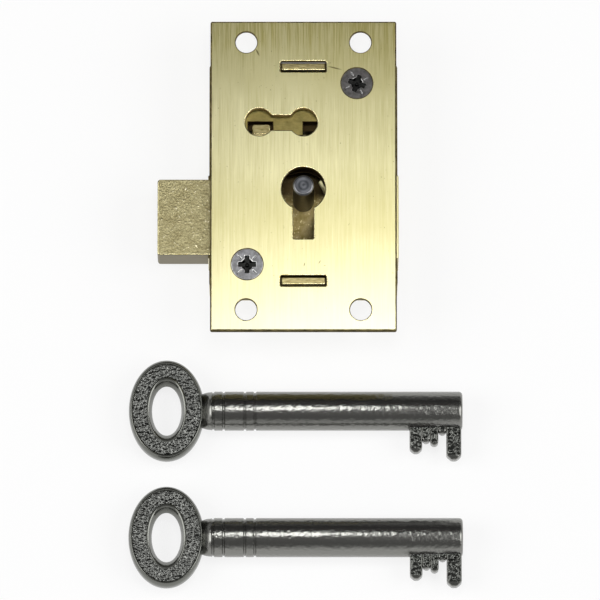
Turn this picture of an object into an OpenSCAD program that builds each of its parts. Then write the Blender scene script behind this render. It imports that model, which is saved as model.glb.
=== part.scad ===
// Four-lever straight cupboard lock with two barrel keys, all sizes in millimetres.
// The lock lies on the back of its case with the mounting plate up. The drill pin's axis is the Z axis,
// the bolt shoots towards -X, and the keys lie in front of the lock, on the surface that it rests on.

/* [Mounting plate] */
// Width of the mounting plate, along the bolt's travel
plate_w = 38.1; // [36:0.1:42]
// Height of the mounting plate
plate_h = 64.8; // [63:0.1:72]
// Thickness of the mounting plate
plate_t = 1.6; // [1.2:0.1:2.4]
// From the plate's upper edge down to the drill pin's axis
plate_above = 35.1; // [34:0.1:38]
// Radius of the plate's corners
plate_corner_r = 0.4; // [0.2:0.1:1.5]

/* [Fixing holes] */
// Radius of each fixing hole
fix_r = 2.2; // [1.8:0.1:2.5]
// From the plate's side edge to a fixing hole's centre
fix_in_x = 7.35; // [5:0.05:9]
// From the plate's upper or lower edge to a fixing hole's centre
fix_in_y = 4.4; // [3.8:0.1:4.8]
// How much wider the countersink is than the hole, on the radius
fix_sink = 1.1; // [0.5:0.1:1.5]
// Depth of the countersink, on the side of the case
fix_sink_depth = 0.9; // [0.4:0.1:1.1]

/* [Keyhole and window] */
// Radius of the keyhole's round part
keyhole_r = 4.5; // [4.3:0.05:5]
// Width of the keyhole's slot
keyhole_slot_w = 4.3; // [3.6:0.1:5]
// Gap between the key's longest step and the end of the slot
keyhole_room = 0.25; // [0.1:0.05:0.8]
// Radius of the window's two round ends
window_r = 2.9; // [2.2:0.05:3]
// Distance between the window's two round ends
window_pitch = 9.05; // [8:0.05:10]
// Height of the window's neck
window_neck = 3.15; // [2:0.05:4]
// Height of the window's middle above the drill pin's axis
window_y = 13.95; // [13:0.05:15]

/* [Case] */
// From the drill pin's axis up to the case's upper face
case_above = 26.75; // [26:0.05:27.5]
// From the drill pin's axis down to the case's lower face
case_below = 20.45; // [19.5:0.05:21]
// Thickness of the case's upper and lower walls
case_end_wall = 1.9; // [1.5:0.05:2.2]
// Thickness of the case's side walls
case_side_wall = 1.75; // [1.4:0.05:2]
// Thickness of the case's back
case_back = 1.6; // [1.2:0.1:3]
// Clear depth inside the case
case_depth = 11; // [10.8:0.1:13]
// How far the case's sides stand out past the plate
case_proud = 0.2; // [0.1:0.05:0.5]
// How far the pads at the bolt's level stand out past the case's sides
pad_proud = 0.25; // [0.1:0.05:0.6]
// Radius of the case's upright corners
case_corner_r = 1.2; // [0.6:0.1:1.4]
// Width of the two lugs that stand up through the plate
lug_w = 9; // [7:0.1:12]
// Thickness of a lug, which stands along the inner edge of the case's end wall
lug_t = 1.5; // [1.2:0.05:1.8]
// Gap at each end of a lug in its slot
lug_gap_x = 0.25; // [0.1:0.05:0.5]
// Gap at each side of a lug in its slot
lug_gap_y = 0.4; // [0.2:0.05:0.6]

/* [Case screws] */
// Radius of a case screw's thread
screw_r = 1.5; // [1.2:0.1:1.7]
// Radius of a case screw's head
screw_head_r = 3.25; // [2.8:0.05:3.8]
// Length of a case screw
screw_len = 8; // [5:0.1:9.5]
// Place of the upper case screw to the right of the drill pin's axis
screw_right = 10.95; // [10:0.05:11.5]
// Place of the upper case screw above the drill pin's axis
screw_up = 22.1; // [21.8:0.05:22.6]
// Place of the lower case screw to the left of the drill pin's axis
screw_left = 11.5; // [10:0.05:13]
// Place of the lower case screw below the drill pin's axis
screw_down = 15.85; // [15.8:0.05:16.2]
// Brass left around a case screw in its boss
boss_wall = 0.6; // [0.5:0.05:0.65]

/* [Drill pin and posts] */
// Radius of the drill pin
pin_r = 2.15; // [1.8:0.05:2.3]
// How far the drill pin stands up past the plate
pin_proud = 3; // [2:0.1:6]
// Radius of the lever post
post_r = 1.6; // [1.3:0.05:1.9]
// Radius of the lever post's thick foot
post_foot_r = 2.5; // [2.2:0.05:2.8]
// Height of the lever post above the drill pin's axis
post_y = 11; // [10.5:0.1:12]
// Radius of the bolt's guide pin
guide_r = 1.25; // [1:0.05:1.4]

/* [Bolt] */
// Travel of the bolt, which is also how far its nose stands out
bolt_throw = 10.8; // [10:0.1:11]
// Height of the bolt's head
bolt_h = 15.8; // [14:0.1:16]
// From the drill pin's axis down to the head's lower face
bolt_below = 13.5; // [13:0.05:13.5]
// Thickness of the bolt's head
bolt_t = 8.8; // [7.5:0.1:9]
// Thickness of the bolt's tail
tail_t = 3; // [2.6:0.05:3.1]
// Height of the tail's rail
rail_h = 9.8; // [9.4:0.1:10.4]
// Width of the talon, the notch that the key works in
talon_w = 4.4; // [4:0.1:4.8]
// Running gap round the bolt
bolt_gap = 0.15; // [0.1:0.01:0.2]

/* [Stump] */
// Width of the stump
stump_w = 3.6; // [3:0.1:4]
// Height of the stump's stem, where it passes the gates
stump_stem = 1; // [0.8:0.05:1.1]
// Thickness of the stump's flat head
stump_head_t = 0.7; // [0.5:0.05:0.9]

/* [Levers] */
// Thickness of a lever
lever_t = 1.35; // [1.2:0.05:1.45]
// Gap between one lever and the next, held by a washer
lever_gap = 0.3; // [0.25:0.01:0.35]
// Radius of a lever's eye
lever_eye_r = 3; // [2.6:0.05:3.2]
// Height of a lever's upper edge above the drill pin's axis
lever_top = 18.4; // [18:0.05:18.8]
// How far a lever drops from the height that frees the bolt, in degrees
lever_drop = 4; // [2:0.5:4.5]
// How far a lever can be overlifted, in degrees
lever_lift = 3; // [1:0.5:3.5]
// Thickness of a lever's spring strip
spring_t = 0.3; // [0.2:0.05:0.4]
// Width of a lever's spring strip
spring_w = 1; // [0.6:0.05:1.2]

/* [Keys] */
// Length of a key
key_len = 68.2; // [60:0.1:75]
// Radius of a key's shank
key_r = 4; // [3.6:0.05:4.1]
// Radius that the bolt step of the bit reaches
key_bolt_r = 10.3; // [10:0.05:10.4]
// Thickness of the bit
bit_t = 3.2; // [2.6:0.1:3.4]
// Width of a key's bow, along the key
bow_w = 15.5; // [13:0.1:17]
// Height of a key's bow, across the key
bow_h = 20.9; // [18:0.1:24]
// Thickness of a key's bow
bow_t = 4.5; // [3.5:0.1:6]
// Width of the hole in the bow
bow_hole_w = 6.2; // [5:0.1:7.5]
// Height of the hole in the bow
bow_hole_h = 11.4; // [9:0.1:13]

/* [Hidden] */
$fn = 64;
// A cut reaches this far past the face that it opens
past = 1;

// The plate and the inside of the case
plate_z = case_back + case_depth;
plate_top_z = plate_z + plate_t;
plate_low = plate_above - plate_h;
plate_mid = plate_above - plate_h / 2;
fix_x = plate_w / 2 - fix_in_x;
fix_y = plate_h / 2 - fix_in_y;
case_x = plate_w / 2 + case_proud;
pad_x = case_x + pad_proud;
in_x = case_x - case_side_wall;
in_top = case_above - case_end_wall;
in_low = case_end_wall - case_below;
lug_recess = 0.06;
lug_top_z = plate_top_z - lug_recess;
case_screws_at = [[screw_right, screw_up, -19], [-screw_left, -screw_down, 0]];
boss_r = screw_r + boss_wall;
// Room round a screw's head and shank in the plate
head_gap = 0.15;
// A screw's hole runs on this far below its end
hole_past = 0.6;
// Room round a screw, a riveted end or a spring in its own hole
fit = 0.02;
// How far a riveted end stops short of the back's outer face, and how much thinner it is than its pin
rivet_sink = 0.1;
tenon = 0.55;
// A running fit's clearance
run = 0.05;

// The lever post stands close to the right-hand wall
eye_gap = 0.3;
post_x = in_x - lever_eye_r - eye_gap;

// The bolt, thrown
tail_lift = 0.2;
tail_z = case_back + tail_lift;
tail_top_z = tail_z + tail_t;
head_top_z = plate_z - 2 * bolt_gap;
head_z = head_top_z - bolt_t;
nose_x = -(plate_w / 2 + bolt_throw);
key_room = 0.25;
head_in_x = -(key_r + key_room + bolt_throw);
head_low = -bolt_below;
arm_x = -(in_x - 2 * bolt_gap);
rail_end = post_x - post_foot_r - 2 * bolt_gap - bolt_throw;
// The bolt step meets the rail over the whole throw, and dips this far into it at each end
bit_hold = 0.35;
rail_low = sqrt(pow(key_bolt_r, 2) - pow(bolt_throw / 2, 2)) - bit_hold;
rail_high = rail_low + rail_h;
talon_room = 0.3;
talon_top = key_bolt_r + talon_room;
// The guide slot leaves this much of the rail at its end and above it
slot_wall = 1.5;
guide_x = rail_end - slot_wall - guide_r - run;
guide_y = rail_high - slot_wall - guide_r + run;
guide_proud = 0.15;
guide_top_z = tail_top_z + guide_proud;

// The stump stands on the tail and passes through the levers
stump_x = 0.4 - window_pitch;
stump_left = stump_x - stump_w / 2;
stump_right = stump_x + stump_w / 2;
stem_drop = 3.4;
stem_low = window_y - stem_drop;
stem_top = stem_low + stump_stem;
stump_head_low = stem_low + 0.2;
stump_head_top = window_y - 0.1;
// The part of the head that the window shows stands up from its flange
stump_pad_h = 2.05;
stump_flange_t = stump_head_t * 0.45;
// The stump's own tenon, clear of the talon
tenon_r = 0.8;
tenon_x = stump_x - 0.35;
tenon_y = stem_low + 0.7;

// The stack of levers: how far each one's step of the key reaches, from the back of the case
step_r = [4.95, 7.3, 6.7, 8.8];
lever_pitch = lever_t + lever_gap;
lever_rise = 0.35;
function lever_z(i) = tail_top_z + lever_rise + (i - 1) * lever_pitch;
stack_top_z = lever_z(4) + lever_t;
belly_gap = 0.05;
lever_left = -13.4;
lever_low = 4.4;
// The lever's upper edge runs level to here, under the spring's root
shoulder_x = 8;
// The toe of the belly, on the right of the key
toe = [7.6, 0.3];
// The lowest lever's flank comes down beside the key's shank
flank = [[3.05, 3], [4.45, toe[1]], [7, toe[1]], [7, 5], [4, 4]];
stop_gap = 0.08;
pocket_left = [stump_left - 0.85, stump_right + 0.55];
pocket_right = [stump_left + bolt_throw - 0.4, stump_right + bolt_throw + 1];
gate_gap = 0.15;
gate = [stem_low - gate_gap, stem_top + gate_gap];
// A pocket's floor clears the stem with the lever overlifted
function pocket_floor(x) = stem_low - (post_x - x) * sin(lever_lift) - stop_gap;
// The two lower levers come to rest on the stem. The upper two have the taller pocket that the window shows.
stop_top = stem_top + (post_x - stump_left) * sin(lever_drop) + stop_gap;
seen_top = window_y + 0.6;

// A lever's spring is an arc that ends flat against the upper wall
spring_end_x = -8;
spring_sunk = 1.2;
spring_root = [shoulder_x - 2.5, lever_top - spring_sunk];
spring_top = in_top - run;
spring_dx = spring_root[0] - spring_end_x;
spring_dy = spring_top - spring_root[1];
spring_R = (pow(spring_dx, 2) + pow(spring_dy, 2)) / (2 * spring_dy);
spring_from = asin((spring_root[1] - (spring_top - spring_R)) / spring_R);

// The keys, each lying along X
key_ys = [-44.4, -70.7];
key_tip = 32.5;
bit_in = 0.25;
bit_bevel = 0.6;
pin_top_z = plate_top_z + pin_proud;
// The height of a key's tip above the case's outer face, when the key is in
key_stand = case_back + 0.1;
bore_room = 0.8;
bore_depth = pin_top_z - key_stand + bore_room;
bow_x = key_tip - key_len + bow_w / 2;
bow_rim = 1.1;
bow_sunk = 0.45;

brass = "#c6bd7f";
cast_brass = "#a8955a";
steel = "#6d6f72";
spring_bronze = "#b58a4c";
dark_nickel = "#55555a";

// A flat rectangle with rounded corners, from its lower left corner
module rounded(w, h, r) {
    translate([r, 0]) square([w - 2 * r, h]);
    translate([0, r]) square([w, h - 2 * r]);
    for (x = [r, w - r], y = [r, h - r]) translate([x, y]) circle(r = r);
}

// The flat outline of an ellipse
function ellipse(w, h) = [for (i = [0 : 71]) [w / 2 * cos(i * 5), h / 2 * sin(i * 5)]];

module keyhole() {
    reach = key_bolt_r + keyhole_room;
    circle(r = keyhole_r);
    translate([-keyhole_slot_w / 2, -reach]) rounded(keyhole_slot_w, reach, plate_corner_r);
}

module window() {
    for (x = [-window_pitch, 0]) translate([x, window_y]) circle(r = window_r);
    neck_drop = 0.15;
    translate([-window_pitch, window_y - neck_drop - window_neck / 2]) square([window_pitch, window_neck]);
}

module lug_slots() {
    for (y = [in_top - lug_gap_y, in_low - lug_t - lug_gap_y])
        translate([-lug_w / 2 - lug_gap_x, y])
            rounded(lug_w + 2 * lug_gap_x, lug_t + 2 * lug_gap_y, plate_corner_r);
}

module mounting_plate() {
    color(brass) difference() {
        translate([0, 0, plate_z]) linear_extrude(plate_t) difference() {
            translate([-plate_w / 2, plate_low]) rounded(plate_w, plate_h, plate_corner_r);
            keyhole();
            window();
            lug_slots();
        }
        for (x = [-fix_x, fix_x], y = [-fix_y, fix_y]) translate([x, plate_mid + y, plate_z]) {
            translate([0, 0, -past]) cylinder(r = fix_r, h = plate_t + 2 * past);
            cylinder(r1 = fix_r + fix_sink, r2 = fix_r, h = fix_sink_depth);
        }
        for (s = case_screws_at) translate([s[0], s[1], plate_z]) {
            cylinder(r1 = screw_r + head_gap, r2 = screw_head_r + head_gap, h = plate_t);
            translate([0, 0, -past]) cylinder(r = screw_r + head_gap, h = 2 * past);
        }
    }
}

module boss_and_web(s, wall_y) {
    translate([s[0], s[1]]) circle(r = boss_r);
    translate([s[0] - boss_r, min(s[1], wall_y)]) square([2 * boss_r, abs(wall_y - s[1])]);
}

module case_outline() {
    translate([-case_x, -case_below]) rounded(2 * case_x, case_above + case_below, case_corner_r);
}

module case() {
    pad_past = 0.7;
    color(cast_brass) difference() {
        union() {
            // Back
            linear_extrude(case_back) case_outline();
            // Walls and the two screw bosses
            linear_extrude(plate_z) {
                difference() {
                    case_outline();
                    translate([-in_x, in_low]) square([2 * in_x, in_top - in_low]);
                }
                boss_and_web(case_screws_at[0], in_top + case_end_wall / 2);
                boss_and_web(case_screws_at[1], in_low - case_end_wall / 2);
                // Pads on both sides, at the bolt's level
                for (x = [-pad_x, in_x]) translate([x, head_low - pad_past])
                    square([pad_x - in_x, bolt_h + 2 * pad_past]);
            }
            // Lugs that locate the plate
            for (y = [in_top, in_low - lug_t]) translate([-lug_w / 2, y])
                linear_extrude(lug_top_z) rounded(lug_w, lug_t, plate_corner_r);
        }
        // The bolt's way out
        translate([-pad_x - past, head_low - bolt_gap, head_z - bolt_gap])
            cube([case_side_wall + pad_proud + 2 * past, bolt_h + 2 * bolt_gap, bolt_t + 4 * bolt_gap]);
        for (s = case_screws_at) translate([s[0], s[1], plate_top_z - screw_len - hole_past])
            cylinder(r = screw_r + fit, h = screw_len);
        // Holes for the riveted ends of the drill pin, the lever post and the guide pin
        for (p = [[0, 0, pin_r - tenon], [post_x, post_y, post_r - tenon / 2],
                  [guide_x, guide_y, guide_r - tenon / 2]])
            translate([p[0], p[1], -past]) cylinder(r = p[2] + fit, h = case_back + 2 * past);
    }
}

module drill_pin() {
    chamfer = 0.35;
    pip_r = 0.45;
    pip_h = 0.12;
    color(steel) {
        translate([0, 0, rivet_sink]) cylinder(r = pin_r - tenon, h = case_back);
        translate([0, 0, case_back]) cylinder(r = pin_r, h = pin_top_z - chamfer - case_back);
        translate([0, 0, pin_top_z - chamfer]) cylinder(r1 = pin_r, r2 = pin_r - chamfer, h = chamfer);
        translate([0, 0, pin_top_z]) cylinder(r1 = pip_r, r2 = pip_r / 3, h = pip_h);
    }
}

module lever_post() {
    foot_top = lever_z(1) - run;
    color(steel) translate([post_x, post_y]) {
        translate([0, 0, rivet_sink]) cylinder(r = post_r - tenon / 2, h = case_back);
        translate([0, 0, case_back]) cylinder(r = post_foot_r, h = foot_top - case_back);
        translate([0, 0, foot_top]) cylinder(r = post_r, h = plate_z - run - foot_top);
    }
}

module guide_pin() {
    color(steel) translate([guide_x, guide_y]) {
        translate([0, 0, rivet_sink]) cylinder(r = guide_r - tenon / 2, h = case_back);
        translate([0, 0, case_back]) cylinder(r = guide_r, h = guide_top_z - case_back);
    }
}

// A washer round the lever post, from z, t thick
module washer(z, t) {
    rim = 0.4;
    translate([post_x, post_y, z]) difference() {
        cylinder(r = lever_eye_r - rim, h = t);
        translate([0, 0, -past]) cylinder(r = post_r + run, h = t + 2 * past);
    }
}

module lever_washers() {
    color(brass) for (i = [1 : 3]) washer(lever_z(i) + lever_t + run, lever_gap - 2 * run);
}

module packing_collar() {
    color(brass) washer(stack_top_z + run, plate_z - stack_top_z - 2 * run);
}

// A countersunk screw whose head lies just under the plate's face, with its cross turned
module case_screw(turn) {
    head_h = plate_t - run;
    cross_r = screw_head_r * 0.56;
    cross_w = 1;
    cone = 1.3;
    tick_at = screw_head_r * 0.5;
    tick = [0.9, 0.2, 0.12];
    rotate([0, 0, turn]) difference() {
        union() {
            translate([0, 0, -head_h]) cylinder(r1 = screw_r, r2 = screw_head_r, h = head_h);
            translate([0, 0, -screw_len]) cylinder(r = screw_r, h = screw_len - head_h / 2);
        }
        for (a = [0, 90]) rotate([0, 0, a])
            translate([-cross_r, -cross_w / 2, -cross_w]) cube([2 * cross_r, cross_w, cross_w + past]);
        translate([0, 0, -cone]) cylinder(r1 = 0.2, r2 = cone, h = cone + run);
        for (a = [45, 135, 225, 315]) rotate([0, 0, a])
            translate([tick_at, -tick[1] / 2, -tick[2]]) cube([tick[0], tick[1], past]);
    }
}

module case_screws() {
    color(steel) for (s = case_screws_at) translate([s[0], s[1], plate_top_z - run]) case_screw(s[2]);
}

module bolt() {
    head_corner_r = 0.6;
    color(cast_brass) difference() {
        union() {
            // Head
            translate([nose_x, head_low, head_z]) linear_extrude(bolt_t)
                rounded(head_in_x - nose_x, bolt_h, head_corner_r);
            // Tail: an arm behind the head and a rail above the drill pin
            translate([0, 0, tail_z]) linear_extrude(tail_t) {
                translate([arm_x, head_low]) square([head_in_x - arm_x, rail_high - head_low]);
                translate([arm_x, rail_low]) square([rail_end - arm_x, rail_high - rail_low]);
            }
        }
        // Talon
        translate([-bolt_throw / 2 - talon_w / 2, rail_low - past, tail_z - past])
            cube([talon_w, talon_top - rail_low + past, tail_t + 2 * past]);
        // Slot for the guide pin
        translate([guide_x - bolt_throw, guide_y, tail_z - past]) {
            for (x = [0, bolt_throw]) translate([x, 0]) cylinder(r = guide_r + run, h = tail_t + 2 * past);
            translate([0, -guide_r - run]) cube([bolt_throw, 2 * (guide_r + run), tail_t + 2 * past]);
        }
        // Hole for the stump's tenon
        translate([tenon_x, tenon_y, tail_z - past]) cylinder(r = tenon_r + fit, h = tail_t + 2 * past);
    }
}

module bolt_stump() {
    stump_head_z = head_top_z - stump_head_t;
    head_corner_r = 0.5;
    color(brass) {
        translate([tenon_x, tenon_y, tail_z + rivet_sink]) cylinder(r = tenon_r, h = tail_t - rivet_sink);
        translate([stump_left, stem_low, tail_top_z])
            cube([stump_w, stump_stem, stump_head_z - tail_top_z]);
        translate([stump_left, stump_head_low, stump_head_z]) linear_extrude(stump_flange_t)
            rounded(stump_w, stump_head_top - stump_head_low, head_corner_r);
        translate([stump_left, stump_head_top - stump_pad_h, stump_head_z]) linear_extrude(stump_head_t)
            rounded(stump_w, stump_pad_h, head_corner_r);
    }
}

// A lever t thick whose belly meets a step of radius r, with its pockets' upper edge at top
module lever_plate(t, r, top, nosed) {
    difference() {
        union() {
            difference() {
                union() {
                    linear_extrude(t) polygon([[lever_left, lever_low], [lever_left, lever_top],
                        [shoulder_x, lever_top], [post_x + lever_eye_r * 0.65, post_y + lever_eye_r * 0.7],
                        [post_x + lever_eye_r * 0.7, post_y - lever_eye_r * 0.65],
                        toe, [0, toe[1]], [0, lever_low]]);
                    translate([post_x, post_y]) cylinder(r = lever_eye_r, h = t);
                }
                translate([0, 0, -past]) cylinder(r = r + belly_gap, h = t + 2 * past);
            }
            if (nosed) linear_extrude(t) polygon(flank);
        }
        translate([post_x, post_y, -past]) cylinder(r = post_r + run, h = t + 2 * past);
        for (p = [pocket_left, pocket_right]) translate([p[0], pocket_floor(p[0]), -past])
            cube([p[1] - p[0], top - pocket_floor(p[0]), t + 2 * past]);
        translate([pocket_left[0] + run, gate[0], -past])
            cube([pocket_right[1] - pocket_left[0] - 2 * run, gate[1] - gate[0], t + 2 * past]);
    }
}

// The arc that a lever's spring follows, gap wider on each side
module spring_arc(gap, h, extra) {
    translate([spring_end_x, spring_top - spring_R])
        rotate([0, 0, spring_from - extra]) rotate_extrude(angle = 90 - spring_from + extra)
            translate([spring_R - spring_t - gap, 0]) square([spring_t + 2 * gap, h]);
}

module lever(i) {
    color(brass) difference() {
        translate([0, 0, lever_z(i)])
            lever_plate(lever_t, step_r[i - 1], i > 2 ? seen_top : stop_top, i == 1);
        translate([0, 0, lever_z(i) - past]) spring_arc(fit, lever_t + 2 * past, 0.1);
    }
}

module lever_spring(i) {
    color(spring_bronze) translate([0, 0, lever_z(i) + (lever_t - spring_w) / 2])
        spring_arc(0, spring_w, 0);
}

module lever_1() { lever(1); }
module lever_2() { lever(2); }
module lever_3() { lever(3); }
module lever_4() { lever(4); }
module lever_spring_1() { lever_spring(1); }
module lever_spring_2() { lever_spring(2); }
module lever_spring_3() { lever_spring(3); }
module lever_spring_4() { lever_spring(4); }

// One step of the bit, from a to b back from the key's tip, out to radius r, with its end bevelled
module bit_step(a, b, r) {
    bevel = min(bit_bevel, (b - a) / 3);
    polygon([[key_tip - a, 0], [key_tip - a, bevel - r], [key_tip - a - bevel, -r],
             [key_tip - b + bevel, -r], [key_tip - b, bevel - r], [key_tip - b, 0]]);
}

module bit_shape() {
    // Each lever's step is as wide as the lever and half the gap on each side of it
    function from_tip(i) = lever_z(i) - lever_gap / 2 - key_stand;
    bit_step(bit_in, from_tip(1), key_bolt_r);
    for (i = [1 : 3]) bit_step(from_tip(i) - fit, from_tip(i + 1) + fit, step_r[i - 1]);
    bit_step(from_tip(4), plate_z - key_stand - 2 * run, step_r[3]);
}

module bow() {
    // A ring with raised rims at its outer edge and round its hole
    difference() {
        linear_extrude(bow_t, center = true) polygon(ellipse(bow_w, bow_h));
        linear_extrude(bow_t + 2 * past, center = true) polygon(ellipse(bow_hole_w, bow_hole_h));
        for (side = [-1, 1]) translate([0, 0, side * bow_t / 2]) linear_extrude(2 * bow_sunk, center = true)
            difference() {
                polygon(ellipse(bow_w - 2 * bow_rim, bow_h - 2 * bow_rim));
                polygon(ellipse(bow_hole_w + bow_rim, bow_hole_h + bow_rim));
            }
    }
}

module key(y) {
    // Stations along the shank, from the bow to the tip: place and radius
    neck = bow_x + bow_w / 2 - 0.9;
    neck_in = 1.6;
    collar = 0.35;
    shoulder = 1.5;
    groove = 0.2;
    groove_w = 0.5;
    marks = [2.65, 4.8, 9.15, 11.2];
    tip_edge = 0.5;
    shank = concat(
        [[neck - neck_in, 0], [neck - neck_in, key_r - 5 * collar], [neck, key_r - 3 * collar],
         [neck + shoulder, key_r - collar]],
        [for (m = marks) for (p = [[-1, 0], [0, -groove], [1, 0]])
            [neck + m + p[0] * groove_w / 2, key_r + p[1]]],
        [[key_tip - tip_edge, key_r], [key_tip, key_r - tip_edge], [key_tip, 0]]);
    color(dark_nickel) translate([0, y, key_r]) difference() {
        union() {
            translate([bow_x, 0]) bow();
            rotate([0, 90, 0]) rotate_extrude() polygon([for (p = shank) [p[1], p[0]]]);
            linear_extrude(bit_t, center = true) bit_shape();
        }
        translate([key_tip - bore_depth, 0]) rotate([0, 90, 0])
            cylinder(r = pin_r + run, h = bore_depth + past);
    }
}

module key_1() { key(key_ys[0]); }
module key_2() { key(key_ys[1]); }

mounting_plate();
case();
drill_pin();
lever_post();
guide_pin();
lever_washers();
packing_collar();
case_screws();
bolt();
bolt_stump();
lever_1();
lever_2();
lever_3();
lever_4();
lever_spring_1();
lever_spring_2();
lever_spring_3();
lever_spring_4();
key_1();
key_2();
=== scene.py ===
"""A straight cupboard lock with its two barrel keys: finishes, camera and light.

All places are in metres, in the frame of the lock: Z is the drill pin's axis and Y runs up the plate.
"""
import math

import bpy
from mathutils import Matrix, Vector


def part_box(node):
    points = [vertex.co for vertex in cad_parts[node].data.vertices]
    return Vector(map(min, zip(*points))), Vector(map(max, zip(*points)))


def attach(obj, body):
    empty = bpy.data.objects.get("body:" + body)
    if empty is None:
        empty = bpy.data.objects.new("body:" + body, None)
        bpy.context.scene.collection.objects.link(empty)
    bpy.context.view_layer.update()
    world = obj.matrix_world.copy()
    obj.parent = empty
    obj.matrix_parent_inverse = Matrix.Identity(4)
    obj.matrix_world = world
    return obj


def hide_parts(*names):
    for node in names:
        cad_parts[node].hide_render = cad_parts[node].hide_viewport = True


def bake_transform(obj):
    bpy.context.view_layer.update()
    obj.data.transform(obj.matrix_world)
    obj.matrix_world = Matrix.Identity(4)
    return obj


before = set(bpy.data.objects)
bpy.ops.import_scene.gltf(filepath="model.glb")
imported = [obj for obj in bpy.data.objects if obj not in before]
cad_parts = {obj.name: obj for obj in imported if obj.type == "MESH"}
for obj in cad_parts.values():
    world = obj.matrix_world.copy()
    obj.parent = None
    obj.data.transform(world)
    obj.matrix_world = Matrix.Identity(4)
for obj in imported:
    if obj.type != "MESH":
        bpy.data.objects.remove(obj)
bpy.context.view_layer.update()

MM = 0.001
# The photograph: 600 pixels wide, and the plate's 38.1 mm are 185.7 of them
PHOTO_SIZE = 600
MM_PER_PIXEL = 38.1 / 185.7
# The camera stands this much closer than that scale asks, since what it looks at has depth
CLOSER = 0.994
# The pixel that shows the drill pin's axis where it passes the plate's face
PIN_PIXEL = Vector((303.4, 188.8))
# Scratches on the plate: middle, half length and half width in millimetres, and turn in degrees
SCRATCHES = [((-9.4, 28.6), 1.0, 0.22, -64), ((6.4, 25.3), 1.7, 0.2, -14), ((0.2, -15.9), 0.45, 0.14, 75),
             ((3.3, -15.4), 0.5, 0.12, 60), ((-2.6, -19.8), 0.4, 0.14, 85)]
# How much of the floor's white doesn't depend on its light
FLOOR_OWN_WHITE = 0.82
# Places nearer than this to a face or an edge belong to it, in millimetres, as are the next ones
NEAR = 0.1
# Where the pads on the case's sides start and end, up the plate, and how far out they start
PAD_ENDS = (-14.2, 3)
PAD_INSIDE = 18.9
# The middles of the plate's four fixing holes
FIXING_HOLES = [(x, y) for x in (-11.7, 11.7) for y in (-25.3, 30.7)]
# From a case screw's middle: its head's edge, the wall and the rim of its countersink, the ends of its
# cross's arms, and where the short marks between them start and end
SCREW_HEAD = 3.25
COUNTERSINK_WALL, COUNTERSINK_RIM = 3.9, 4.2
CROSS_END, TICK_ENDS = 1.85, (1.6, 2.7)
# Down from the top of its head: where the faces of the cross and the floors of the marks start and end
CROSS_DEPTHS, TICK_DEPTHS = (0.1, 1.35), (0.06, 0.2)
# The worn strip on the first lever's flank, beside the drill pin: the ends of its edge, its width, how far
# it slopes down to that edge, and the sides of the box that holds it
FLANK_TOP, FLANK_END = Vector((3.05, 3, 0)), Vector((4.45, 0.3, 0))
FLANK_WIDTH, FLANK_SLOPE = 0.75, 0.1
FLANK_LEFT, FLANK_HIGH = 2.5, 3.6
# Points nearer than this are one point, in metres
SAME_POINT = 0.002 * MM
# Faces that meet at less than FLAT are one face, edges sharper than SHARP are broken, and faces that meet
# at less than SMOOTH are shaded as one
FLAT, SHARP, SMOOTH = math.radians(0.5), math.radians(35), math.radians(40)


def linear(hex_colour):
    """An sRGB colour such as "c8b87a" as the linear values that shaders take."""
    values = [int(hex_colour[i:i + 2], 16) / 255 for i in (0, 2, 4)]
    return [v / 12.92 if v <= 0.04045 else ((v + 0.055) / 1.055) ** 2.4 for v in values] + [1]


# Shader helpers

def add(tree, kind, inputs, out=None, **settings):
    """Adds a shader node and gives back its output named out, or else its first one.

    Each input, by its name or number, is a value, or the output that feeds it.
    """
    made = tree.nodes.new("ShaderNode" + kind)
    for name, value in settings.items():
        setattr(made, name, value)
    for name, value in inputs.items():
        socket = next(s for i, s in enumerate(made.inputs) if name in (i, s.name) and s.enabled)
        if isinstance(value, bpy.types.NodeSocket):
            tree.links.new(value, socket)
        else:
            socket.default_value = value
    return next(s for s in made.outputs if s.enabled and s.name == (out or s.name))


def metal(name, colour, roughness):
    """A bare or plated metal: its material, node tree and shader inputs."""
    mat = bpy.data.materials.new(name)
    mat.use_nodes = True
    mat.diffuse_color = linear(colour)
    shader = mat.node_tree.nodes["Principled BSDF"]
    shader.inputs["Base Color"].default_value = linear(colour)
    shader.inputs["Metallic"].default_value = 1
    shader.inputs["Roughness"].default_value = roughness
    return mat, mat.node_tree, shader.inputs


def noise(tree, at, lumps, detail, roughness=0.5, shift=(0, 0, 0)):
    """A cloudy pattern from 0 to 1, whose lumps are that many millimetres long along X, Y and Z."""
    scale = [1 / (lump * MM) for lump in lumps]
    moved = add(tree, "Mapping", {"Vector": at, "Scale": scale, "Location": shift})
    return add(tree, "TexNoise", {"Vector": moved, "Scale": 1, "Detail": detail, "Roughness": roughness},
               "Fac")


def ramp(tree, value, start, end, low=0, high=1):
    """Goes from low to high while a value goes from start to end, and stays there beyond them."""
    return add(tree, "MapRange", {"Value": value, "From Min": start, "From Max": end, "To Min": low,
                                  "To Max": high})


def mix(tree, share, first, second):
    """The first colour where share is 0 and the second where it is 1. Either may be a shader's output."""
    colours = [linear(tone) if isinstance(tone, str) else tone for tone in (first, second)]
    return add(tree, "Mix", {"Factor": share, "A": colours[0], "B": colours[1]}, data_type="RGBA")


def bump(tree, height, depth, skin=None):
    """A relief of that depth in millimetres, over the relief skin if there is one."""
    inputs = {"Height": height, "Distance": depth * MM, "Strength": 1}
    if skin:
        inputs["Normal"] = skin
    return add(tree, "Bump", inputs)


# Materials

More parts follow.
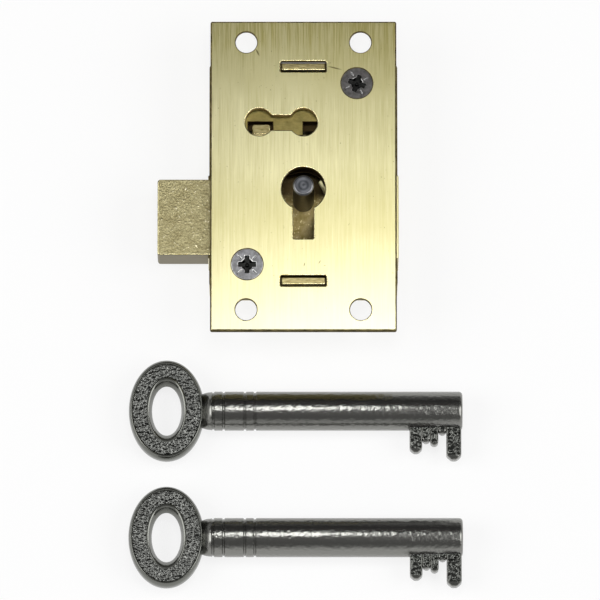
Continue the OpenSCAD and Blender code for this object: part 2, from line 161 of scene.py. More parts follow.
def brushed_brass():
    """Rolled brass sheet, brushed lengthwise and lacquered.

    Its grain along Y shows as pale and olive streaks, tarnish clouds it, and the lacquer adds a sheen. Its
    streaks darken towards the top, partly tarnish and partly a painted shade, and its lower end is painted
    paler as a painted highlight.
    """
    mat, tree, shader = metal("brushed_brass", "ded7a0", 0.3)
    at = add(tree, "TexCoord", {}, "Object")
    fine = noise(tree, at, (0.18, 7, 0.18), 3, roughness=0.6)
    long_streaks = noise(tree, at, (0.55, 30, 0.55), 2, shift=(7, 7, 7))
    clouds = noise(tree, at, (9, 14, 9), 4, roughness=0.6, shift=(3, 1, 0))
    pits = noise(tree, at, (0.35, 0.5, 0.35), 1, shift=(9, 2, 5))
    streak = add(tree, "Mix", {"Factor": 0.4, "A": fine, "B": long_streaks}, data_type="FLOAT")
    uneven = ramp(tree, streak, 0.4, 0.6, high=2.2)
    paler = ramp(tree, streak, 0.3, 0.7)
    brass = mix(tree, paler, "d6ce94", "f2ecbc")
    # Tarnish and painted shade: dark streaks towards the top, partly tarnish and partly a painted shade
    # where the plate's top reflects less light, and tarnish all over below the drill pin
    upwards = add(tree, "SeparateXYZ", {"Vector": at}, "Y")
    top_tarnish_and_shade = ramp(tree, upwards, 18 * MM, 35 * MM, high=0.55)
    handled = ramp(tree, upwards, 5 * MM, -3 * MM, high=0.35)
    streaked = add(tree, "Math", {0: top_tarnish_and_shade, 1: uneven}, operation="MULTIPLY")
    worn = add(tree, "Math", {0: streaked, 1: handled}, operation="ADD")
    # The right side above the drill pin is duller than the left
    sideways = add(tree, "SeparateXYZ", {"Vector": at}, "X")
    right = ramp(tree, sideways, -3 * MM, 16 * MM, high=0.26)
    above = ramp(tree, upwards, -2 * MM, 8 * MM)
    corner = add(tree, "Math", {0: right, 1: above}, operation="MULTIPLY")
    dull = add(tree, "Math", {0: worn, 1: corner}, operation="ADD")
    tarnish = add(tree, "Mix", {"Factor": 0.35, "A": dull, "B": clouds}, data_type="FLOAT")
    cloudy = ramp(tree, tarnish, 0.18, 0.8)
    brass = mix(tree, cloudy, brass, "b5ab66")
    # The lower end is painted paler, a painted highlight where the plate reflects the lamp most, and pits
    # and scratches are dark
    lower_painted_highlight = ramp(tree, upwards, -8 * MM, -28 * MM, high=0.25)
    brass = mix(tree, lower_painted_highlight, brass, "fbf6e0")
    pitted = ramp(tree, pits, 0.76, 0.8, high=0.6)
    brass = mix(tree, pitted, brass, "7c7038")
    for middle, half_length, half_width, turn in SCRATCHES:
        along = add(tree, "Mapping", {
            "Vector": at, "Location": Vector((*middle, 0)) * MM, "Rotation": (0, 0, math.radians(turn)),
            "Scale": Vector((half_length, half_width, 1000)) * MM}, vector_type="TEXTURE")
        away = add(tree, "VectorMath", {"Vector": along}, "Value", operation="LENGTH")
        inside = ramp(tree, away, 1, 0.4, high=0.9)
        brass = mix(tree, inside, brass, "6d6434")
    tree.links.new(brass, shader["Base Color"])
    rough = ramp(tree, fine, 0.3, 0.7, low=0.29, high=0.38)
    tree.links.new(rough, shader["Roughness"])
    tree.links.new(bump(tree, fine, 0.0015), shader["Normal"])
    shader["Coat Weight"].default_value = 1
    shader["Coat Roughness"].default_value = 0.25
    return mat


def sheared_brass():
    """The plate's cut walls: tarnished brass, dark olive to copper, with a golden band beside the bright
    face that is a painted highlight.
    """
    mat, tree, shader = metal("sheared_brass", "5c4c20", 0.4)
    at = add(tree, "TexCoord", {}, "Object")
    blots = noise(tree, at, (1.6, 1.6, 0.7), 3)
    warmer = ramp(tree, blots, 0.35, 0.65)
    tone = mix(tree, warmer, "5c4a1c", "84662f")
    # A band below the plate's face, 0.4 mm wide, is painted golden: a painted highlight on the top of the
    # cut wall
    height = add(tree, "SeparateXYZ", {"Vector": at}, "Z")
    clean = add(tree, "Math", {0: height, 1: 13.75 * MM, 2: 0.2 * MM}, operation="COMPARE")
    tone = mix(tree, clean, tone, "b58a44")
    tree.links.new(tone, shader["Base Color"])
    tree.links.new(bump(tree, blots, 0.02), shader["Normal"])
    return mat


def bright_brass():
    """Brass edges rubbed bright, which catch a thin line of light: pale gold, duller in patches."""
    mat, tree, shader = metal("bright_brass", "f2e9b8", 0.24)
    at = add(tree, "TexCoord", {}, "Object")
    worn = noise(tree, at, (0.8, 0.8, 0.8), 3)
    duller = ramp(tree, worn, 0.5, 0.7)
    tone = mix(tree, duller, "f2e9b8", "bfae68")
    tree.links.new(tone, shader["Base Color"])
    return mat


def sand_cast_brass():
    """Brass as cast in sand: a dull skin of fine grains, mottled, with bright rubbed specks."""
    mat, tree, shader = metal("sand_cast_brass", "c2b488", 0.46)
    at = add(tree, "TexCoord", {}, "Object")
    sand = noise(tree, at, (0.4, 0.4, 0.4), 3, roughness=0.6)
    clouds = noise(tree, at, (2.5, 2.5, 2.5), 4, roughness=0.6, shift=(3, 3, 3))
    specks = noise(tree, at, (0.45, 0.45, 0.45), 2, shift=(5, 5, 5))
    mottle = add(tree, "Mix", {"Factor": 0.5, "A": sand, "B": clouds}, data_type="FLOAT")
    paler = ramp(tree, mottle, 0.36, 0.64)
    skin = mix(tree, paler, "968c64", "c4bb90")
    rubbed = ramp(tree, specks, 0.66, 0.72)
    skin = mix(tree, rubbed, skin, "f4ecc8")
    tree.links.new(skin, shader["Base Color"])
    rough = ramp(tree, rubbed, 0, 1, low=0.5, high=0.3)
    tree.links.new(rough, shader["Roughness"])
    grains = bump(tree, sand, 0.07)
    tree.links.new(bump(tree, specks, 0.12, grains), shader["Normal"])
    return mat


def rolled_brass():
    """Stamped lever brass: smooth rolled sheet, dulled to olive partly by the oil in the lock and partly as
    a painted shade for the dark under the plate.
    """
    mat, tree, shader = metal("rolled_brass", "8f8350", 0.36)
    at = add(tree, "TexCoord", {}, "Object")
    oil = noise(tree, at, (3, 2, 2), 5, roughness=0.65)
    clean = ramp(tree, oil, 0.35, 0.65)
    tone = mix(tree, clean, "7b7043", "a09359")
    tree.links.new(tone, shader["Base Color"])
    tree.links.new(bump(tree, oil, 0.01), shader["Normal"])
    return mat


def oiled_and_shaded_brass():
    """The levers' cut walls and the lower levers' faces in the window: brass gone brown under old oil, and
    painted near black as a painted shade where they lie in the lock's shadow.
    """
    mat, tree, shader = metal("oiled_and_shaded_brass", "3a3020", 0.45)
    at = add(tree, "TexCoord", {}, "Object")
    oil = noise(tree, at, (1.5, 1.5, 0.6), 3)
    tone = mix(tree, oil, "2c2416", "4c3f28")
    tree.links.new(tone, shader["Base Color"])
    return mat


def sawn_brass():
    """The bolt's sides, sawn and left: smooth, grey-brown, with faint marks along the cut."""
    mat, tree, shader = metal("sawn_brass", "91896c", 0.42)
    at = add(tree, "TexCoord", {}, "Object")
    marks = noise(tree, at, (3, 3, 0.3), 3)
    tone = mix(tree, marks, "625a3e", "80775a")
    tree.links.new(tone, shader["Base Color"])
    tree.links.new(bump(tree, marks, 0.02), shader["Normal"])
    return mat


def painted_edge_shade():
    """A dull dark painted shade on the plate's outer edge and sloping walls, in its round holes and
    countersinks, and on the case's rim and lugs' sides.
    """
    mat, tree, shader = metal("painted_edge_shade", "4a3d18", 0.8)
    shader["Metallic"].default_value = 0
    shader["Specular IOR Level"].default_value = 0.1
    at = add(tree, "TexCoord", {}, "Object")
    skin = noise(tree, at, (1.2, 1.2, 0.6), 3)
    thin = ramp(tree, skin, 0.35, 0.65)
    tone = mix(tree, thin, "3e3620", "6f6440")
    tree.links.new(tone, shader["Base Color"])
    return mat


def greasy_brass_with_painted_shadow():
    """The case's inside: brass gone golden brown under old grease, with a few bright grains, and a painted
    shadow under the levers above the drill pin.
    """
    mat, tree, shader = metal("greasy_brass_with_painted_shadow", "7d6c3c", 0.38)
    at = add(tree, "TexCoord", {}, "Object")
    film = noise(tree, at, (1.8, 1.8, 1.8), 3)
    grains = noise(tree, at, (0.35, 0.35, 0.35), 1, shift=(2, 4, 6))
    thin = ramp(tree, film, 0.35, 0.65)
    tone = mix(tree, thin, "7f7040", "a9996a")
    bare = ramp(tree, grains, 0.66, 0.7)
    tone = mix(tree, bare, tone, "e8d9a0")
    # A painted shadow: under the levers, above the drill pin, the floor is painted near black where the
    # levers' bellies shade it
    upwards = add(tree, "SeparateXYZ", {"Vector": at}, "Y")
    belly_painted_shadow = ramp(tree, upwards, -0.2 * MM, 1.7 * MM, high=0.9)
    tone = mix(tree, belly_painted_shadow, tone, "33281a")
    tree.links.new(tone, shader["Base Color"])
    tree.links.new(bump(tree, film, 0.02), shader["Normal"])
    return mat


def filed_brass():
    """The stump and the lugs, filed flat across: grey-brown, with short strokes."""
    mat, tree, shader = metal("filed_brass", "a89b6c", 0.36)
    at = add(tree, "TexCoord", {}, "Object")
    strokes = noise(tree, at, (0.9, 0.25, 0.9), 3, roughness=0.6)
    paler = ramp(tree, strokes, 0.35, 0.65)
    tone = mix(tree, paler, "877b50", "b2a678")
    tree.links.new(tone, shader["Base Color"])
    tree.links.new(bump(tree, strokes, 0.012), shader["Normal"])
    return mat


def turned_steel():
    """The drill pin's steel, faced on a lathe: rings round its axis, and two opposite wedges of light."""
    mat, tree, shader = metal("turned_steel", "6e6e70", 0.4)
    at = add(tree, "TexCoord", {}, "Object")
    # Turning marks 0.9 mm apart: Blender's wave repeats 20 times in 2 pi
    rings = add(tree, "TexWave", {"Vector": at, "Scale": 2 * math.pi / (20 * 0.9 * MM), "Distortion": 0.8},
                "Fac", wave_type="RINGS", rings_direction="Z")
    tone = mix(tree, rings, "4a4c50", "6c6e72")
    tree.links.new(tone, shader["Base Color"])
    tree.links.new(bump(tree, rings, 0.0015), shader["Normal"])
    around = add(tree, "Tangent", {}, direction_type="RADIAL", axis="Z")
    tree.links.new(around, shader["Tangent"])
    shader["Anisotropic"].default_value = 0.95
    shader["Anisotropic Rotation"].default_value = 0.25
    return mat


def zinc_steel(name, dark, pale):
    """Steel with a cloudy satin skin: zinc plate on the screws, near black as a painted shade in their
    cross recesses, and old oil on the drill pin's side.
    """
    mat, tree, shader = metal(name, pale, 0.36)
    at = add(tree, "TexCoord", {}, "Object")
    clouds = noise(tree, at, (0.8, 0.8, 0.8), 3)
    paler = ramp(tree, clouds, 0.35, 0.65)
    tone = mix(tree, paler, dark, pale)
    tree.links.new(tone, shader["Base Color"])
    tree.links.new(bump(tree, clouds, 0.02), shader["Normal"])
    return mat


def spring_bronze():
    """Hard rolled bronze strip, smooth and reddish, with its rolling marks along it."""
    mat, tree, shader = metal("spring_bronze", "bd9458", 0.28)
    at = add(tree, "TexCoord", {}, "Object")
    marks = noise(tree, at, (2, 2, 0.15), 2)
    tone = mix(tree, marks, "a87f48", "cda668")
    tree.links.new(tone, shader["Base Color"])
    return mat


def black_nickel(name, colour, roughness, pebble, pebble_depth, fine_depth):
    """Dark nickel plate over a die casting: near black, with hard highlights that its pebbles scatter."""
    mat, tree, shader = metal(name, colour, roughness)
    at = add(tree, "TexCoord", {}, "Object")
    pebbles = add(tree, "TexVoronoi", {"Vector": at, "Scale": 1 / (pebble * MM)}, "Distance",
                  feature="SMOOTH_F1")
    fine = noise(tree, at, (0.4, 0.4, 0.4), 2)
    skin = bump(tree, fine, fine_depth)
    tree.links.new(bump(tree, pebbles, pebble_depth, skin), shader["Normal"])
    return mat


def pale_floor():
    """A white sweep of card: most of its white is its own to the eye, so the lock's shadow stays light."""
    mat = bpy.data.materials.new("pale_floor")
    mat.use_nodes = True
    tree = mat.node_tree
    shader = tree.nodes["Principled BSDF"]
    shader.inputs["Base Color"].default_value = linear("fcfcfc")
    shader.inputs["Roughness"].default_value = 0.9
    shader.inputs["Specular IOR Level"].default_value = 0
    ray = tree.nodes.new("ShaderNodeLightPath").outputs
    seen = add(tree, "Math", {0: ray["Is Camera Ray"], 1: ray["Is Glossy Ray"]}, operation="ADD")
    share = ramp(tree, seen, 0, 1, high=FLOOR_OWN_WHITE)
    white = add(tree, "Emission", {"Color": (1, 1, 1, 1), "Strength": 1})
    mixed = add(tree, "MixShader", {0: share, 1: shader.outputs["BSDF"], 2: white})
    tree.links.new(mixed, tree.nodes["Material Output"].inputs["Surface"])
    return mat


# Modelling helpers

def box_mm(node):
    """The lowest and highest corner of a solid, in millimetres."""
    return [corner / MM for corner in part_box(node)]


def deselect():
    """Leaves no object selected."""
    bpy.ops.object.select_all(action="DESELECT")


def make_active(piece):
    """Makes a piece the active object and the only one selected."""
    deselect()
    piece.select_set(True)
    bpy.context.view_layer.objects.active = piece


def apply_modifiers(piece):
    """Turns what a piece's modifiers make into its mesh."""
    make_active(piece)
    for modifier in list(piece.modifiers):
        bpy.ops.object.modifier_apply(modifier=modifier.name)


def finished_copy(node, body, materials, edge, clamp=True, bends=False, share=None):
    """A copy of a solid with its edges broken by edge millimetres, which stands for that solid.

    The last material goes on the broken edges. Without clamp, small details don't hold them back. A copy
    that bends is fixed in place and not attached to its body, so none of it moves with that body. Where
    share is given, it says how much of that width an edge gets, 0 to 1, from the place of its middle.
    """
    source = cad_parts[node]
    piece = source.copy()
    piece.data = source.data.copy()
    piece.name = node + "_finished"
    piece.parent = None
    bpy.context.scene.collection.objects.link(piece)
    piece.data.materials.clear()
    for mat in materials:
        piece.data.materials.append(mat)
    make_active(piece)
    bpy.ops.object.mode_set(mode="EDIT")
    bpy.ops.mesh.select_all(action="SELECT")
    bpy.ops.mesh.remove_doubles(threshold=SAME_POINT)
    bpy.ops.mesh.dissolve_limited(angle_limit=FLAT)
    bpy.ops.mesh.select_mode(type="EDGE")
    bpy.ops.mesh.select_all(action="DESELECT")
    bpy.ops.mesh.edges_select_sharp(sharpness=SHARP)
    bpy.ops.object.mode_set(mode="OBJECT")
    bevel = piece.modifiers.new("broken_edges", "BEVEL")
    bevel.width = edge * MM
    bevel.segments = 2
    bevel.limit_method = "WEIGHT" if share else "ANGLE"
    bevel.angle_limit = SHARP
    if share:
        weights = piece.data.attributes.new("bevel_weight_edge", "FLOAT", "EDGE")
        for side in piece.data.edges:
            if side.select:
                ends = [piece.data.vertices[i].co / MM for i in side.vertices]
                weights.data[side.index].value = share((ends[0] + ends[1]) / 2)
    bevel.use_clamp_overlap = clamp
    bevel.loop_slide = clamp
    bevel.miter_outer = "MITER_SHARP" if clamp else "MITER_PATCH"
    bevel.material = len(materials) - 1
    apply_modifiers(piece)
    bpy.ops.object.shade_smooth_by_angle(angle=SMOOTH)
    flat = piece.modifiers.new("flat_faces", "WEIGHTED_NORMAL")
    flat.keep_sharp = True
    apply_modifiers(piece)
    if bends:
        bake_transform(piece)
    else:
        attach(piece, body)
    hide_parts(node)
    return piece


def assign(piece, mat, chosen):
    """Puts one of a piece's materials on the faces for which chosen is true, and gives them back."""
    slot = piece.data.materials.find(mat.name)
    faces = [face for face in piece.data.polygons if chosen(face.center / MM, face.normal)]
    for face in faces:
        face.material_index = slot
    return faces


def cut(piece, at, normal):
    """Cuts the faces where they cross a plane, and leaves the shape as it is."""
    make_active(piece)
    bpy.ops.object.mode_set(mode="EDIT")
    bpy.ops.mesh.select_all(action="SELECT")
    bpy.ops.mesh.bisect(plane_co=Vector(at) * MM, plane_no=normal)
    bpy.ops.object.mode_set(mode="OBJECT")


def polish_flank(lever):
    """Gives the lever's flank beside the drill pin a bright worn strip, which slopes down to its edge."""
    along = (FLANK_END - FLANK_TOP).normalized()
    across = Vector((-along.y, along.x, 0))

    def inwards(at):
        """How far in from the flank's edge a place is, or infinity where it isn't on the flank."""
        if at.x <= FLANK_LEFT or at.y >= FLANK_HIGH:
            return math.inf
        return (at - FLANK_TOP).dot(across)

    cut(lever, FLANK_TOP + across * FLANK_WIDTH, across)
    top = max(vertex.co.z for vertex in lever.data.vertices)
    make_active(lever)
    bpy.ops.object.mode_set(mode="EDIT")
    bpy.ops.mesh.select_mode(type="VERT")
    bpy.ops.mesh.select_all(action="DESELECT")
    bpy.ops.object.mode_set(mode="OBJECT")
    for vertex in lever.data.vertices:
        vertex.select = vertex.co.z > top - 0.08 * MM and abs(inwards(vertex.co / MM)) < 0.2
    bpy.ops.object.mode_set(mode="EDIT")
    bpy.ops.transform.translate(value=(0, 0, -FLANK_SLOPE * MM))
    bpy.ops.object.mode_set(mode="OBJECT")
    strip = assign(lever, brass_sheet,
                   lambda at, normal: -NEAR < inwards(at) < FLANK_WIDTH and normal.z > 0.3)
    for face in strip:
        face.use_smooth = False


def start_piece(name):
    """The primitive that was just added, named, with all of it selected in edit mode."""
    piece = bpy.context.object
    piece.name = name
    bpy.ops.object.mode_set(mode="EDIT")
    bpy.ops.mesh.select_all(action="SELECT")
    return piece


def ring_stack(name, sides, stations):
    """A skin through oval rings. Each station is a width, a height and a place along Z, in millimetres."""
    deselect()
    bpy.ops.mesh.primitive_circle_add(vertices=sides, radius=0.5)
    piece = start_piece(name)
    width, height, at = stations[0]
    bpy.ops.transform.resize(value=(width * MM, height * MM, 1))
    bpy.ops.transform.translate(value=(0, 0, at * MM))
    for next_width, next_height, next_at in stations[1:]:
        bpy.ops.mesh.extrude_region_move(TRANSFORM_OT_translate={"value": (0, 0, (next_at - at) * MM)})
        bpy.ops.transform.resize(value=(next_width / width, next_height / height, 1))
        width, height, at = next_width, next_height, next_at
    bpy.ops.object.mode_set(mode="OBJECT")
    return piece


def settle(piece, at, turn=(0, 0, 0)):
    """Turns a piece and moves it to its place, in millimetres, and leaves its object at the origin."""
    piece.rotation_euler = turn
    piece.location = Vector(at) * MM
    make_active(piece)
    bpy.ops.object.transform_apply(location=True, rotation=True, scale=True)


def outward(piece):
    """Joins doubled points, closes open ends and turns every face outwards."""
    make_active(piece)
    bpy.ops.object.mode_set(mode="EDIT")
    bpy.ops.mesh.select_all(action="SELECT")
    bpy.ops.mesh.remove_doubles(threshold=SAME_POINT)
    bpy.ops.mesh.fill_holes(sides=0)
    bpy.ops.mesh.normals_make_consistent(inside=False)
    bpy.ops.object.mode_set(mode="OBJECT")


# The keys

# Across the bow: width, height and place above its middle, from the outer edge to the hole's waist
BOW_SECTION = [
    (15.5, 20.9, 0), (15.44, 20.82, 0.8), (15.28, 20.55, 1.4), (15.05, 20.2, 1.8), (14.75, 19.8, 2.08),
    (14.55, 19.5, 2.22), (14.4, 19.3, 2.25), (14.25, 19.15, 2.2), (13.95, 18.85, 1.95), (13.8, 18.7, 1.8),
    (8.2, 13.6, 1.8), (8.0, 13.4, 1.92), (7.6, 13.0, 2.05), (7.2, 12.5, 1.95), (6.7, 11.7, 1.3),
    (6.2, 10.6, 0.5), (6.0, 10.2, 0)]
# The panel between the rims starts and ends at these places in that list
PANEL_OUTER, PANEL_INNER = 9, 10
# The steps of the bit: from where to where, back from the key's tip, and how far from its axis
BIT_STEPS = [(0.25, 3.3, 10.3), (3.3, 4.95, 4.95), (4.95, 6.6, 7.3), (6.6, 8.25, 6.7), (8.25, 10.8, 8.8)]
BIT_THICKNESS = 3.2
# The neck, from the bow: thickness, width and place along the key, from the drill pin's axis
NECK = [(3.0, 6.2, -21.6), (3.4, 6.9, -20.9), (3.9, 7.2, -20.5), (4.8, 7.45, -20.15), (5.9, 7.6, -19.8),
        (6.8, 7.7, -19.45), (7.4, 7.75, -19.1), (7.65, 7.8, -18.8)]
# Where the four grooves run round the shank, from the drill pin's axis, and how deep
GROOVES = [-18.45, -16.3, -11.95, -9.9]
GROOVE_DEPTH = 0.24
BARREL_RADIUS, BARREL_DEPTH = 2.2, 16.3


def bow(centre):
    """The oval ring that the hand holds, with a sunk panel between two rims on each face."""
    piece = ring_stack("bow", 96, BOW_SECTION)
    mirror = piece.modifiers.new("other_face", "MIRROR")
    mirror.use_axis = (False, False, True)
    mirror.merge_threshold = SAME_POINT
    apply_modifiers(piece)
    settle(piece, centre)
    outward(piece)
    return piece


def shank(y, radius, tip):
    """The round shank, from its neck, which flattens into the bow, to the tip, and down its bore."""
    stations = []
    for groove in GROOVES:
        stations += [(groove - 0.32, radius), (groove - 0.1, radius - GROOVE_DEPTH),
                     (groove + 0.1, radius - GROOVE_DEPTH), (groove + 0.32, radius)]
    # The rounded tip, and back down the bore to the cone at its end
    stations += [(tip - 0.7, radius), (tip - 0.35, radius - 0.1), (tip - 0.1, radius - 0.35),
                 (tip, radius - 0.7), (tip, BARREL_RADIUS + 0.3), (tip - 0.3, BARREL_RADIUS),
                 (tip - BARREL_DEPTH, BARREL_RADIUS), (tip - BARREL_DEPTH - 0.8, 0.2)]
    piece = ring_stack("shank", 64, NECK + [(2 * r, 2 * r, at) for at, r in stations])
    settle(piece, (0, y, radius), (0, math.pi / 2, 0))
    outward(piece)
    return piece


def bit_step(y, axis_height, tip, near, far, reach):
    """One step of the bit, which ends in a blunt point."""
    point = 0.3 * (far - near)
    deselect()
    bpy.ops.mesh.primitive_cube_add(size=MM, scale=(far - near, reach - point, BIT_THICKNESS))
    piece = start_piece("bit_step")
    bpy.ops.mesh.select_all(action="DESELECT")
    bpy.ops.object.mode_set(mode="OBJECT")
    for face in piece.data.polygons:
        face.select = face.normal.y < -0.5
    bpy.ops.object.mode_set(mode="EDIT")
    bpy.ops.mesh.extrude_region_move(TRANSFORM_OT_translate={"value": (0, -point * MM, 0)})
    bpy.ops.transform.resize(value=(0.35, 1, 0.8))
    bpy.ops.object.mode_set(mode="OBJECT")
    settle(piece, (tip - (near + far) / 2, y - (reach - point) / 2, axis_height))
    bevel = piece.modifiers.new("cast_edges", "BEVEL")
    bevel.width = 0.28 * MM
    bevel.segments = 3
    apply_modifiers(piece)
    return piece


def make_keys():
    """Both keys: the first is built where its solid lies, and the second is its copy."""
    low, high = box_mm("key_1")
    radius = high.z / 2
    y = (low.y + high.y) / 2
    tip = high.x
    bow_centre = Vector((low.x + BOW_SECTION[0][0] / 2, y, radius))
    parts = [bow(bow_centre), shank(y, radius, tip)]
    parts += [bit_step(y, radius, tip, *step) for step in BIT_STEPS]
    for part in parts:
        for mat in (cast_nickel, pebbled_nickel, smooth_nickel, bit_nickel):
            part.data.materials.append(mat)

    def within(at, ring):
        """True for a place inside that ring of the bow."""
        width, height, _ = BOW_SECTION[ring]
        return math.hypot((at.x - bow_centre.x) / width, (at.y - bow_centre.y) / height) < 0.5

    def in_panel(at, normal):
        """True for the floor of the sunk panel."""
        return within(at, PANEL_OUTER) and not within(at, PANEL_INNER) and abs(normal.z) > 0.9

    assign(parts[0], smooth_nickel, lambda at, normal: True)
    assign(parts[0], pebbled_nickel, in_panel)
    for part in parts[2:]:
        assign(part, bit_nickel, lambda at, normal: abs(normal.z) > 0.95)
    deselect()
    for part in parts:
        part.select_set(True)
    bpy.context.view_layer.objects.active = parts[0]
    bpy.ops.object.join()
    first = parts[0]
    first.name = "key_1_casting"
    make_active(first)
    bpy.ops.object.shade_smooth_by_angle(angle=SMOOTH)
    second = first.copy()
    second.data = first.data.copy()
    second.name = "key_2_casting"
    bpy.context.scene.collection.objects.link(second)
    settle(second, (0, box_mm("key_2")[0].y - low.y, 0))
    for number, piece in enumerate((first, second), 1):
        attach(piece, "key_%d_body" % number)
        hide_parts("key_%d" % number)


# Which faces of the lock get which finish

screw_low, screw_high = box_mm("case_screws")
plate_low, plate_high = box_mm("mounting_plate")
case_low, case_high = box_mm("case")
bolt_low, bolt_high = box_mm("bolt")
stump_top = box_mm("bolt_stump")[1].z


def depth_in(at, low, high):
    """How far inside the outline of a box a place is, seen from above."""
    return min(at.x - low.x, high.x - at.x, at.y - low.y, high.y - at.y)


def screw_parts(at):
    """How far a place is from the middle of its screw, and how far below the top of the head."""
    out = min(math.hypot(at.x - screw_high.x + SCREW_HEAD, at.y - screw_high.y + SCREW_HEAD),
              math.hypot(at.x - screw_low.x - SCREW_HEAD, at.y - screw_low.y - SCREW_HEAD))
    return out, screw_high.z - at.z


def in_recess(at, normal):
    """True for the faces of a screw's cross and its cone."""
    out, down = screw_parts(at)
    return out < CROSS_END and CROSS_DEPTHS[0] < down < CROSS_DEPTHS[1]


def in_tick(at, normal):
    """True for the floors of the short marks between the arms of a screw's cross."""
    out, down = screw_parts(at)
    along = TICK_ENDS[0] < out < TICK_ENDS[1]
    return along and TICK_DEPTHS[0] < down < TICK_DEPTHS[1] and normal.z > 0.5


def on_outline(at):
    """True for a place at the mounting plate's outer edge."""
    return depth_in(at, plate_low, plate_high) < 0.25


def in_hole(at):
    """True for a place in or at one of the plate's fixing holes."""
    return min(math.hypot(at.x - x, at.y - y) for x, y in FIXING_HOLES) < 2.5


def plate_edge(at):
    """How far an edge of the mounting plate is broken: only those of its face, the outer ones the most."""
    if at.z < plate_high.z - NEAR or screw_parts(at)[0] < COUNTERSINK_RIM:
        return 0
    return 1 if on_outline(at) else 0.6


brass_sheet = brushed_brass()
brass_wall = sheared_brass()
brass_edge = bright_brass()
cast_brass = sand_cast_brass()
lever_brass = rolled_brass()
lever_wall_and_shade = oiled_and_shaded_brass()
bolt_side = sawn_brass()
inner_brass = greasy_brass_with_painted_shadow()
dark_edge = painted_edge_shade()
pin_side = zinc_steel("oiled_steel", "3c342b", "50463a")
flat_brass = filed_brass()
pin_steel = turned_steel()
screw_zinc = zinc_steel("zinc_steel", "6c6c6d", "868688")
dull_zinc = zinc_steel("dull_zinc_steel", "565453", "6c6a69")
# Near black: a painted shade in the screws' cross recesses
screw_recess_shade = zinc_steel("recess_painted_shade_steel", "222221", "2f2f2e")
screw_burr = zinc_steel("burred_zinc_steel", "c0c0be", "f2f2f0")
bronze = spring_bronze()
smooth_nickel = black_nickel("smooth_nickel", "747570", 0.24, 0.9, 0.01, 0.004)
cast_nickel = black_nickel("cast_nickel", "858581", 0.24, 0.8, 0.06, 0.035)
pebbled_nickel = black_nickel("pebbled_nickel", "646562", 0.28, 0.55, 0.32, 0.02)
bit_nickel = black_nickel("bit_nickel", "4e4f4c", 0.24, 0.8, 0.4, 0.03)

plate = finished_copy("mounting_plate", "lock_case", [brass_sheet, brass_wall, dark_edge, brass_edge], 0.3,
                      clamp=False, share=plate_edge)
assign(plate, brass_wall, lambda at, normal: abs(normal.z) < 0.7)
# Painted shade, in the dark edge finish: sloping walls, the outer edge, the four fixing holes, and the
# countersinks of the case's screws
assign(plate, dark_edge, lambda at, normal: 0.1 < abs(normal.z) < 0.7)
assign(plate, dark_edge, lambda at, normal: abs(normal.z) < 0.98 and (
    on_outline(at) or in_hole(at) or screw_parts(at)[0] < COUNTERSINK_WALL))
case = finished_copy("case", "lock_case", [cast_brass, flat_brass, inner_brass, dark_edge, brass_edge], 0.2,
                     clamp=False)
case.data.materials.append(brass_sheet)
for x in (-PAD_INSIDE, PAD_INSIDE):
    cut(case, (x, 0, 0), (1, 0, 0))
for y in PAD_ENDS:
    cut(case, (0, y, 0), (0, 1, 0))
# The inside is greasy, up to just under the rim
assign(case, inner_brass, lambda at, normal: depth_in(at, case_low, case_high) > 0.7 and 0.5 < at.z < 12.4)
# The lugs' sides and the rim get the dark edge finish as a painted shade, the lugs' tops are filed, and
# their lower edges rubbed bright
assign(case, dark_edge, lambda at, normal: at.z > plate_low.z - 0.3
       and (at.z < plate_low.z + 0.05 or normal.z < 0.3 or normal.y > -0.2))
assign(case, flat_brass, lambda at, normal: at.z > case_high.z - 0.01 and normal.z > 0.9)
# The right pad shows beside the plate, and is as smooth
assign(case, brass_sheet, lambda at, normal: at.z > plate_low.z - 0.3 and at.x > PAD_INSIDE
       and PAD_ENDS[0] < at.y < PAD_ENDS[1])
pin = finished_copy("drill_pin", "lock_case", [pin_steel, pin_side, screw_zinc], 0.14)
assign(pin, pin_side, lambda at, normal: abs(normal.z) < 0.3)
finished_copy("lever_post", "lock_case", [screw_zinc], 0.06)
finished_copy("guide_pin", "lock_case", [screw_zinc], 0.06)
screws = finished_copy("case_screws", "lock_case", [screw_zinc, screw_recess_shade, dull_zinc, screw_burr], 0.09,
                       clamp=False)
# The upper screw's head is the duller one
assign(screws, dull_zinc, lambda at, normal: at.y > 0 and normal.z > 0.9)
# The cross's faces and cone get the near black zinc, a painted shade in the recess
assign(screws, screw_recess_shade, in_recess)
assign(screws, screw_zinc, in_tick)
# Of the bolt and its stump, only the edges that show are broken
bolt = finished_copy("bolt", "sliding_bolt", [cast_brass, bolt_side, brass_edge], 0.2, clamp=False,
                     share=lambda at: at.z > bolt_high.z - NEAR or at.x < bolt_low.x + NEAR)
assign(bolt, bolt_side, lambda at, normal: -0.9 < normal.z < 0.6)
finished_copy("bolt_stump", "sliding_bolt", [flat_brass, brass_edge], 0.12, clamp=False,
              share=lambda at: at.z > stump_top - NEAR)
for i in range(1, 5):
    lever = finished_copy("lever_%d" % i, "lever_%d_body" % i, [lever_brass, lever_wall_and_shade, lever_wall_and_shade], 0.24)
    lever.data.materials.append(brass_sheet)
    # Deep in the window the lower levers' faces are painted dark, a painted shade for the shadow under the
    # plate
    assign(lever, lever_wall_and_shade, lambda at, normal: abs(normal.z) < 0.3 or (i < 4 and at.y > 4.6))
    # The belly's lower edge is worn by the key; it shows above the drill pin
    if i in (2, 4):
        assign(lever, brass_sheet,
               lambda at, normal: at.y < 8 and normal.y < -0.2 and 0.3 < normal.z < 0.98)
    if i == 1:
        polish_flank(lever)
    finished_copy("lever_spring_%d" % i, "lever_%d_body" % i, [bronze], 0.04, bends=True)
for name in ("lever_washers", "packing_collar"):
    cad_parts[name].data.materials.clear()
    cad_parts[name].data.materials.append(lever_brass)
make_keys()


# Floor, light and camera

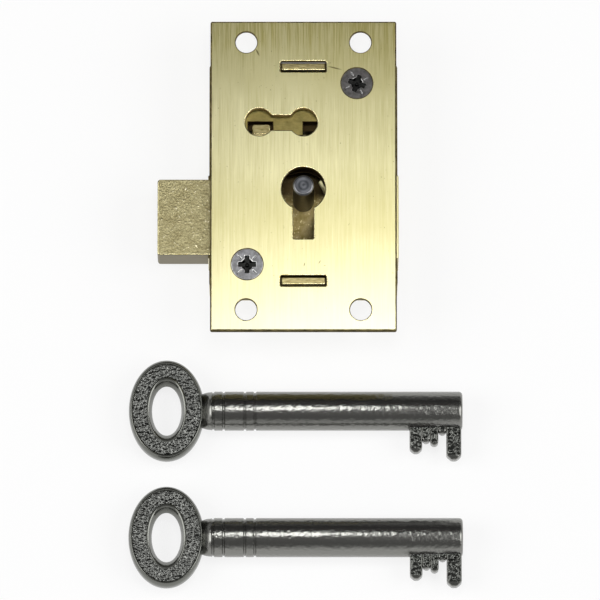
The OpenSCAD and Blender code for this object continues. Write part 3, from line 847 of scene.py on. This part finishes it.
def floor():
    """A floor just under the case's back, so wide that it fills every view."""
    deselect()
    bpy.ops.mesh.primitive_plane_add(size=12, location=(0, 0, -0.02 * MM))
    piece = bpy.context.object
    piece.name = "floor"
    piece.data.materials.append(pale_floor())


def softbox(name, at, size, radiance):
    """A soft lamp that faces the lock: its surface is radiance times as bright as a white wall."""
    data = bpy.data.lights.new(name, "AREA")
    data.shape = "RECTANGLE"
    data.size, data.size_y = size
    # Blender spreads the power over the lamp's area and half a sphere
    data.energy = radiance * size[0] * size[1] * math.pi
    lamp = bpy.data.objects.new(name, data)
    lamp.location = at
    lamp.rotation_euler = (-Vector(at)).to_track_quat("-Z", "Y").to_euler()
    lamp.visible_camera = False
    bpy.context.scene.collection.objects.link(lamp)


def studio():
    """The room's own light: brightest low down and in front."""
    world = bpy.data.worlds.new("studio")
    bpy.context.scene.world = world
    world.use_nodes = True
    tree = world.node_tree
    direction = tree.nodes.new("ShaderNodeTexCoord").outputs["Generated"]
    split = tree.nodes.new("ShaderNodeSeparateXYZ")
    tree.links.new(direction, split.inputs["Vector"])
    height = ramp(tree, split.outputs["Z"], 0.1, 0.5, low=1, high=0.2)
    # The front, towards -Y, is the bright side of the room
    front = ramp(tree, split.outputs["Y"], -0.3, 0.4, low=1, high=0.3)
    background = tree.nodes["Background"]
    background.inputs["Color"].default_value = (1, 1, 1, 1)
    strength = add(tree, "Math", {0: height, 1: front}, operation="MULTIPLY")
    tree.links.new(strength, background.inputs["Strength"])


def camera():
    """A long lens, 12 degrees off straight down, with the photograph's scale at the plate's face."""
    lens, sensor, elevation = 600, 36, math.radians(78)
    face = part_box("mounting_plate")[1].z
    # The drill pin takes its place in the photograph, and the plate its width
    right = (PHOTO_SIZE / 2 - PIN_PIXEL.x) * MM_PER_PIXEL * MM
    up = (PIN_PIXEL.y - PHOTO_SIZE / 2) * MM_PER_PIXEL * MM
    target = Vector((right, up / math.sin(elevation), face))
    distance = CLOSER * PHOTO_SIZE * MM_PER_PIXEL * MM * lens / sensor
    back = Vector((0, -math.cos(elevation), math.sin(elevation)))
    data = bpy.data.cameras.new("camera")
    data.lens, data.sensor_width = lens, sensor
    data.clip_start, data.clip_end = 0.01, 100
    made = bpy.data.objects.new("camera", data)
    made.location = target + back * distance
    made.rotation_euler = (-back).to_track_quat("-Z", "Y").to_euler()
    bpy.context.scene.collection.objects.link(made)
    bpy.context.scene.camera = made


floor()
softbox("overhead", (0.01, -0.01, 0.35), (0.12, 0.08), 8)
softbox("left", (-0.6, -0.1, 0.55), (0.6, 0.6), 3)
softbox("right", (0.6, -0.1, 0.55), (0.6, 0.6), 3)
studio()
camera()
bpy.context.scene.view_settings.view_transform = "Standard"
